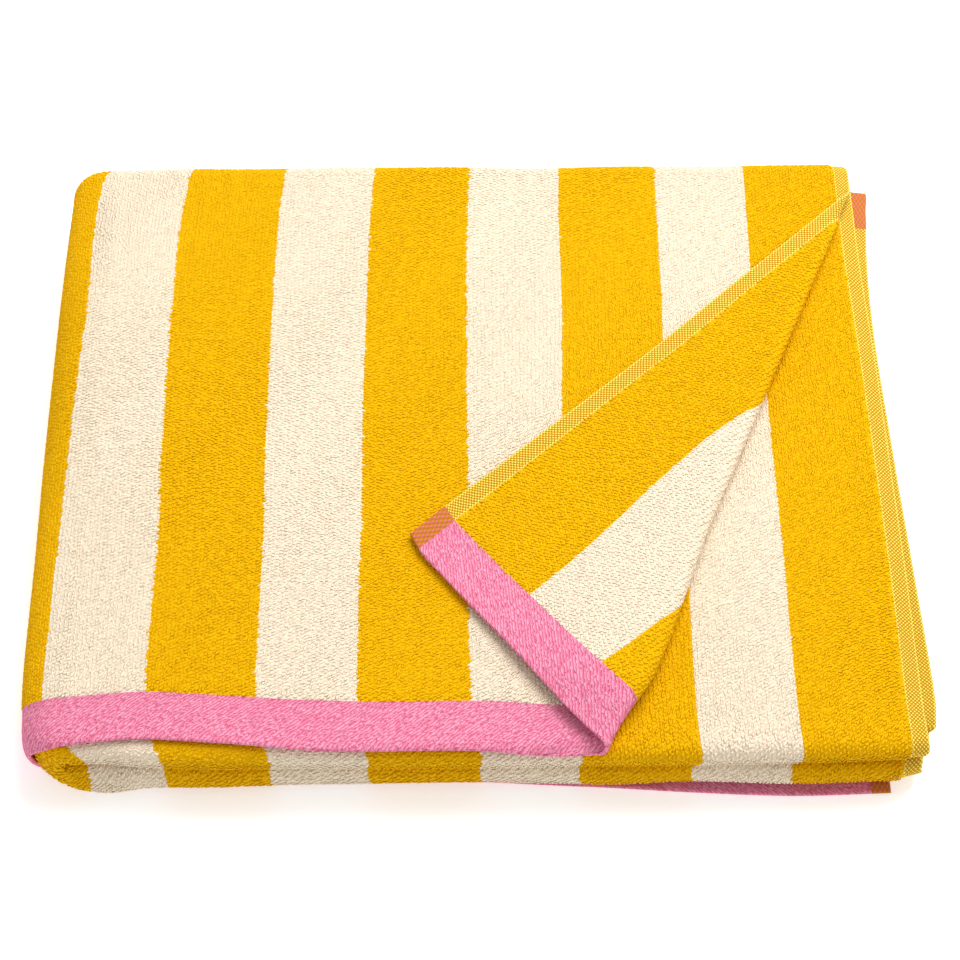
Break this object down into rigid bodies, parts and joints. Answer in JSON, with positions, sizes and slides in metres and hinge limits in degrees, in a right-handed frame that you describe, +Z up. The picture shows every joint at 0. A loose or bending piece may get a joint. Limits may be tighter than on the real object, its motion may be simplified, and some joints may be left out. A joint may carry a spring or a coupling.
{
  "type": "folded bath towel",
  "caption": "Terry bath towel with wide lengthwise stripes and plain woven end hems, folded into a flat oblong pack with one front corner turned back.",
  "frame": {"origin": "middle of the folded towel's footprint, on the surface that it lies on", "axes": "+Z up, +X along the pack from its folded left side to its open right side, +Y from the front, where the turned-back corner lies, to the back"},
  "size_m": [0.3538, 0.2834, 0.0404],
  "materials": {
    "terry_cloth": "cotton loop pile on both faces, in golden yellow and cream stripes along the length, with flat woven pink end hems and pale yellow selvedges"
  },
  "bodies": {
    "root": {"towel_cloth": "terry_cloth"}
  },
  "joints": []
}
